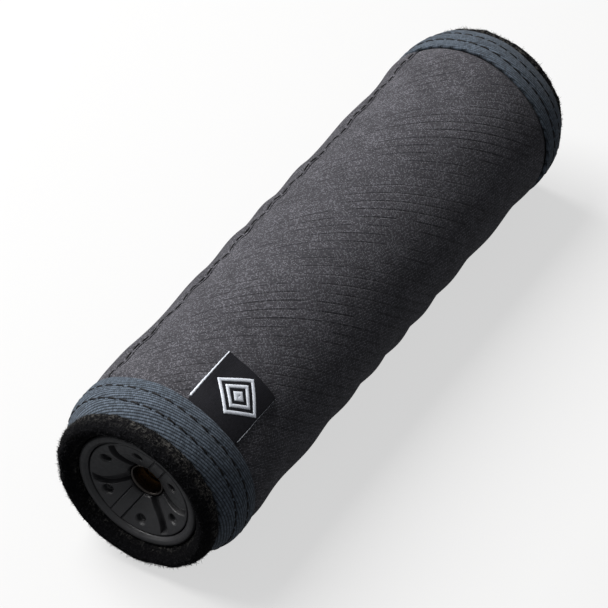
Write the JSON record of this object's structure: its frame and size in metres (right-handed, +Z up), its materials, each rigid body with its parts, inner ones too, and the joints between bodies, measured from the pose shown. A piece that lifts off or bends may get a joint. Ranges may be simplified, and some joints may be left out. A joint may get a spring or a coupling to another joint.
{
  "type": "padded tube sleeve on a solid round core",
  "caption": "Padded fabric heat sleeve with felt lining, stitched tape bands and a folded label, on a solid cylindrical display core that slides out of it.",
  "frame": {"origin": "on the floor under the middle of the sleeve, bottom centre of the object's box", "axes": "+Y along the sleeve from the end with the core's face and the label to the plain end, +Z up, +X to the right seen from the face end"},
  "size_m": [0.0572, 0.2032, 0.0569],
  "materials": {
    "felt": "thick black needled felt with a fuzzy rolled edge",
    "shell_cloth": "charcoal twill, matte with a fine fleck",
    "tape": "slate blue-black twill tape",
    "black_thread": "black sewing thread",
    "label_cloth": "black woven damask, slight satin sheen",
    "white_thread": "white woven thread",
    "black_metal": "black oxide, satin",
    "brass": "warm satin brass",
    "steel": "bright turned steel"
  },
  "bodies": {
    "sleeve": {"felt_lining": "felt", "outer_shell": "shell_cloth", "near_band": "tape", "near_band_thread_inner": "black_thread", "near_band_thread_outer": "black_thread", "far_band": "tape", "far_band_thread_inner": "black_thread", "far_band_thread_outer": "black_thread", "near_band_overlap": "tape", "far_band_overlap": "tape", "side_seam_fold": "shell_cloth", "side_seam_thread": "black_thread", "label_tail": "label_cloth"},
    "label": {"label_flap": "label_cloth", "label_motif": "white_thread"},
    "core": {"front_rim": "black_metal", "face_disc": "black_metal", "core_blank": "black_metal", "hub_collar": "steel", "hub_washer": "brass", "hub_plug": "black_metal", "rear_cap": "black_metal"}
  },
  "joints": [
    {"name": "core_slide", "type": "slide", "parent": "sleeve", "child": "core", "axis": [0, 1, 0], "range_m": [0, 0.21]},
    {"name": "label_hinge", "type": "hinge", "parent": "sleeve", "child": "label", "pos_m": [0.01606, -0.0819, 0.05211], "axis": [0.829, 0, -0.5592], "range_deg": [0, 75]}
  ]
}
